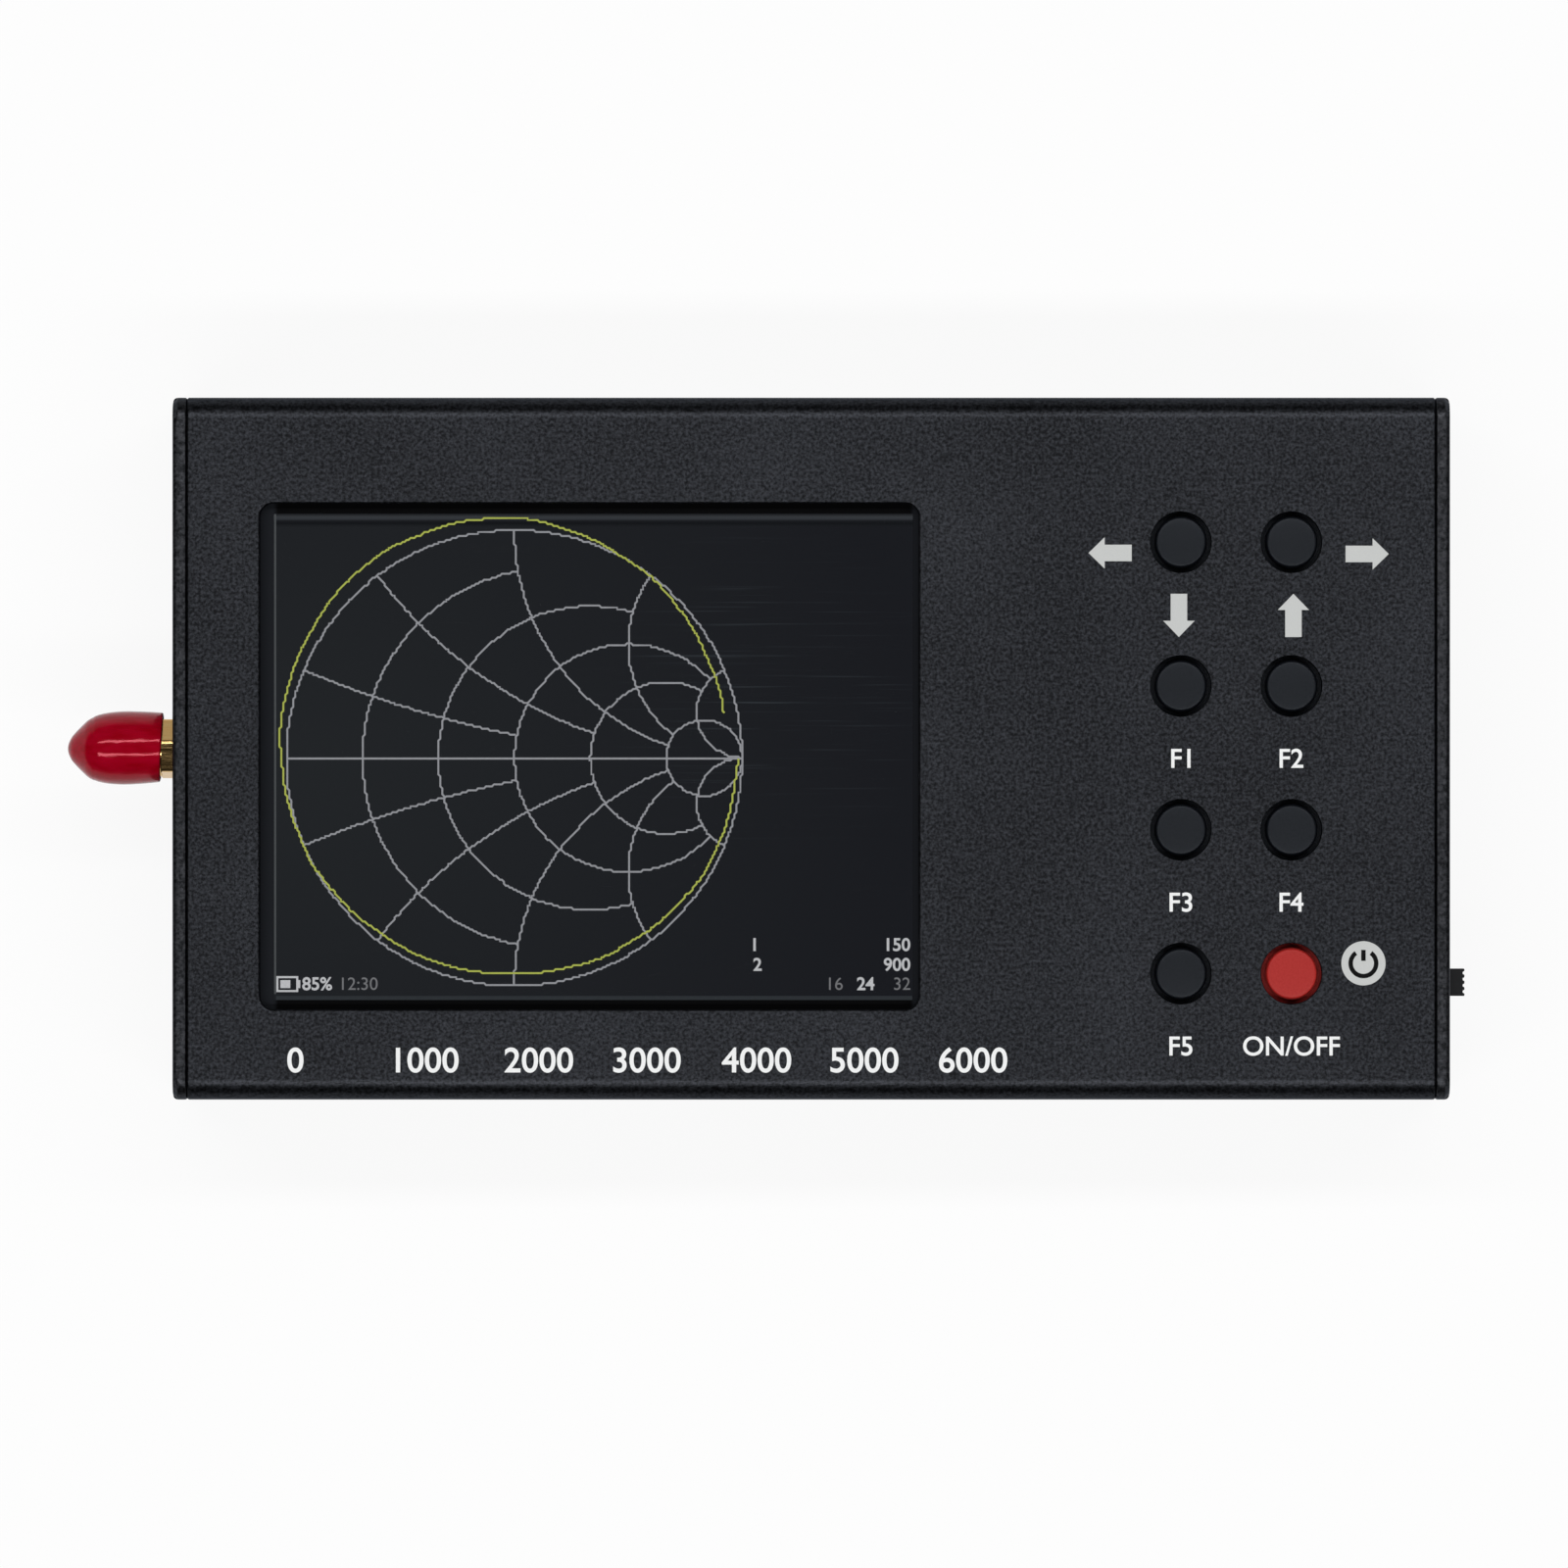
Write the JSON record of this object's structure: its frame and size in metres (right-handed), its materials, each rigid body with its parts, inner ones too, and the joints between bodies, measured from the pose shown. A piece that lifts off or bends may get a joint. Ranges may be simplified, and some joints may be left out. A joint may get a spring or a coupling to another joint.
{
  "type": "antenna analyzer",
  "caption": "Hand-held analyzer in a split extruded case with a touch display, round keys, a slide switch and a capped coaxial port.",
  "frame": {"origin": "middle of the flat rear face that the case rests on", "axes": "+X along the case from the coaxial port to the switch end, +Y across it towards the top of the display, +Z out of the display"},
  "size_m": [0.1428, 0.0716, 0.0256],
  "materials": {
    "case_aluminium": "black anodised, bead blasted",
    "plate_aluminium": "black anodised, flat",
    "screw_steel": "black zinc, satin",
    "gasket_foam": "fine closed-cell foam",
    "touch_glass": "clear, glossy",
    "display_glass": "polariser film, semi-gloss",
    "tray_plastic": "white moulded",
    "foam_tape": "double-sided foam",
    "flex_film": "amber film",
    "connector_plastic": "ivory moulded",
    "board_laminate": "black solder mask, satin",
    "tinned_steel": "tin plated, dull",
    "chip_epoxy": "moulded epoxy",
    "switch_plastic": "moulded",
    "switch_cover_steel": "stamped",
    "plunger_plastic": "moulded",
    "key_black": "satin moulded",
    "key_red": "satin moulded",
    "jack_gold": "gold plated",
    "insulator_white": "turned fluoropolymer",
    "vinyl_red": "dipped vinyl, semi-gloss",
    "switch_case_steel": "folded sheet",
    "lever_plastic": "moulded",
    "usb_steel": "drawn, bright",
    "usb_plastic": "moulded",
    "battery_pouch": "laminated foil pouch",
    "lead_insulation": "silicone insulation"
  },
  "bodies": {
    "housing": {"front_shell": "case_aluminium", "rear_shell": "case_aluminium", "left_end_plate": "plate_aluminium", "right_end_plate": "plate_aluminium", "plate_screws": "screw_steel", "display_gasket": "gasket_foam", "touch_panel": "touch_glass", "lcd_cell": "display_glass", "lcd_backlight": "tray_plastic", "display_tape": "foam_tape", "lcd_flex": "flex_film", "flex_connector": "connector_plastic", "main_board": "board_laminate", "shield_frame": "tinned_steel", "shield_lid": "tinned_steel", "radio_chips": "chip_epoxy", "main_processor": "chip_epoxy", "key_switch_bases": "switch_plastic", "key_switch_covers": "switch_cover_steel", "port_jack": "jack_gold", "port_insulator": "insulator_white", "port_contact": "jack_gold", "slide_switch_case": "switch_case_steel", "slide_switch_base": "switch_plastic", "usb_shell": "usb_steel", "usb_tongue": "usb_plastic", "battery_cell": "battery_pouch", "battery_pad": "foam_tape", "battery_plug": "connector_plastic", "battery_header": "connector_plastic", "battery_lead": "lead_insulation"},
    "key_left": {"key_left_cap": "key_black", "key_left_plunger": "plunger_plastic"},
    "key_right": {"key_right_cap": "key_black", "key_right_plunger": "plunger_plastic"},
    "key_down": {"key_down_cap": "key_black", "key_down_plunger": "plunger_plastic"},
    "key_up": {"key_up_cap": "key_black", "key_up_plunger": "plunger_plastic"},
    "key_lower_left": {"key_lower_left_cap": "key_black", "key_lower_left_plunger": "plunger_plastic"},
    "key_lower_right": {"key_lower_right_cap": "key_black", "key_lower_right_plunger": "plunger_plastic"},
    "key_enter": {"key_enter_cap": "key_black", "key_enter_plunger": "plunger_plastic"},
    "key_power": {"key_power_cap": "key_red", "key_power_plunger": "plunger_plastic"},
    "power_lever": {"slide_switch_lever": "lever_plastic"},
    "port_cap": {"dust_cap": "vinyl_red"}
  },
  "joints": [
    {"name": "key_left_press", "type": "slide", "parent": "housing", "child": "key_left", "axis": [0, 0, -1], "range_m": [0, 0.0003], "stiffness_N_per_m": 2000, "springref_m": -0.0003},
    {"name": "key_right_press", "type": "slide", "parent": "housing", "child": "key_right", "axis": [0, 0, -1], "range_m": [0, 0.0003], "stiffness_N_per_m": 2000, "springref_m": -0.0003},
    {"name": "key_down_press", "type": "slide", "parent": "housing", "child": "key_down", "axis": [0, 0, -1], "range_m": [0, 0.0003], "stiffness_N_per_m": 2000, "springref_m": -0.0003},
    {"name": "key_up_press", "type": "slide", "parent": "housing", "child": "key_up", "axis": [0, 0, -1], "range_m": [0, 0.0003], "stiffness_N_per_m": 2000, "springref_m": -0.0003},
    {"name": "key_lower_left_press", "type": "slide", "parent": "housing", "child": "key_lower_left", "axis": [0, 0, -1], "range_m": [0, 0.0003], "stiffness_N_per_m": 2000, "springref_m": -0.0003},
    {"name": "key_lower_right_press", "type": "slide", "parent": "housing", "child": "key_lower_right", "axis": [0, 0, -1], "range_m": [0, 0.0003], "stiffness_N_per_m": 2000, "springref_m": -0.0003},
    {"name": "key_enter_press", "type": "slide", "parent": "housing", "child": "key_enter", "axis": [0, 0, -1], "range_m": [0, 0.0003], "stiffness_N_per_m": 2000, "springref_m": -0.0003},
    {"name": "key_power_press", "type": "slide", "parent": "housing", "child": "key_power", "axis": [0, 0, -1], "range_m": [0, 0.0003], "stiffness_N_per_m": 2000, "springref_m": -0.0003},
    {"name": "power_slide", "type": "slide", "parent": "housing", "child": "power_lever", "axis": [0, 1, 0], "range_m": [0, 0.002]},
    {"name": "port_cap_pull", "type": "slide", "parent": "housing", "child": "port_cap", "axis": [-1, 0, 0], "range_m": [0, 0.01]}
  ]
}
